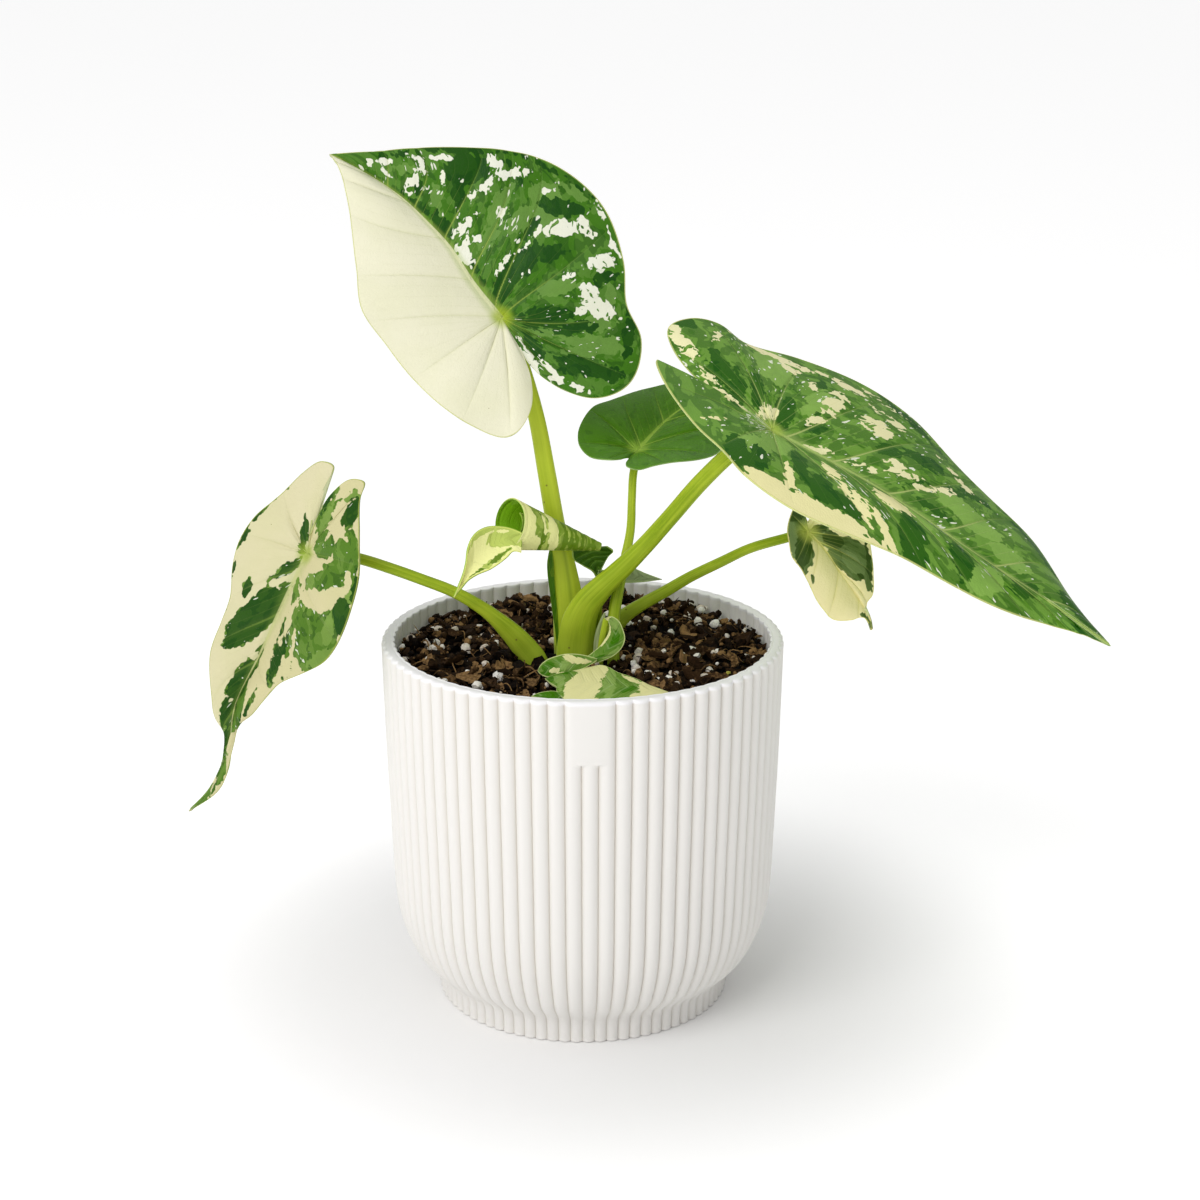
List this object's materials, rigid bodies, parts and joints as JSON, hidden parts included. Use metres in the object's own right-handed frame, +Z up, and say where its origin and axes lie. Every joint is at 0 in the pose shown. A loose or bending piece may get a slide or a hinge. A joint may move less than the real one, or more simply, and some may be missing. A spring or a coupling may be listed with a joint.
{
  "type": "potted alocasia gageana",
  "caption": "Variegated alocasia with arrow-shaped leaves on arching stalks, standing in bark soil in a round pot with fine upright ribs and a foot band.",
  "frame": {"origin": "centre of the pot's flat underside", "axes": "+Z up, -Y the front with the smooth patch on the pot, +X to the right when the front is looked at"},
  "size_m": [0.3154, 0.14, 0.2951],
  "materials": {
    "pot": "matte off-white moulded plastic",
    "soil": "rough dark bark chips with pale perlite grains",
    "tall_blade": "satin leaf, half cream and half marbled green",
    "broad_blade": "satin leaf, marbled green and cream",
    "back_blade": "glossy deep green leaf with paler veins",
    "side_blade": "satin leaf, dark green above and cream towards the tip",
    "hanging_blade": "satin leaf, cream with dark green patches",
    "rolled_blade": "satin young leaf, pale green and cream stripes",
    "low_blade": "satin leaf, grey green and cream patches",
    "stalk": "smooth satin yellow-green leaf stalk",
    "sheath": "thin papery pale sheath"
  },
  "bodies": {
    "root": {"pot": "pot", "soil": "soil", "tall_leaf_blade": "tall_blade", "tall_leaf_stalk": "stalk", "broad_leaf_blade": "broad_blade", "broad_leaf_stalk": "stalk", "back_leaf_blade": "back_blade", "back_leaf_stalk": "stalk", "side_leaf_blade": "side_blade", "side_leaf_stalk": "stalk", "hanging_leaf_blade": "hanging_blade", "hanging_leaf_stalk": "stalk", "rolled_leaf_blade": "rolled_blade", "rolled_leaf_stalk": "stalk", "low_leaf_blade": "low_blade", "low_leaf_stalk": "stalk", "sheath": "sheath"}
  },
  "joints": []
}
